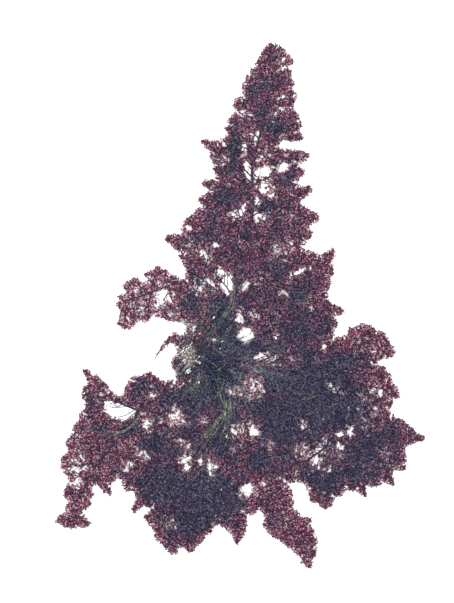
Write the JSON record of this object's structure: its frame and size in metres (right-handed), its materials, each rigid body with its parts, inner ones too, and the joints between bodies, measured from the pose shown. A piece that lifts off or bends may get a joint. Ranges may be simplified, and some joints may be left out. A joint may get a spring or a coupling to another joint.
{
  "type": "pressed callithamnion pikeanum seaweed",
  "caption": "Pressed and dried whole red seaweed, lying flat: a small holdfast with a fan of dense, finely branched leafy fronds.",
  "frame": {"origin": "middle of the holdfast's flat underside, where it touches the surface that the specimen lies on", "axes": "+Z up from the surface; +Y along the specimen's length, from the holdfast towards the tip of the crown frond; +X to the right, seen from above with +Y up"},
  "size_m": [0.1683, 0.2394, 0.0048],
  "materials": {
    "frond_tissue": "dry matt tissue, plum to slate in the thick parts and maroon at the margins",
    "holdfast_felt": "matt grey-green felt"
  },
  "bodies": {
    "root": {"holdfast": "holdfast_felt", "frond_crown": "frond_tissue", "frond_north_east": "frond_tissue", "frond_east": "frond_tissue", "frond_east_low": "frond_tissue", "frond_south_east": "frond_tissue", "frond_south_point": "frond_tissue", "frond_south_mid": "frond_tissue", "frond_south": "frond_tissue", "frond_south_inner": "frond_tissue", "frond_south_west": "frond_tissue", "frond_west_low": "frond_tissue", "frond_west": "frond_tissue", "frond_sprig": "frond_tissue"}
  },
  "joints": []
}
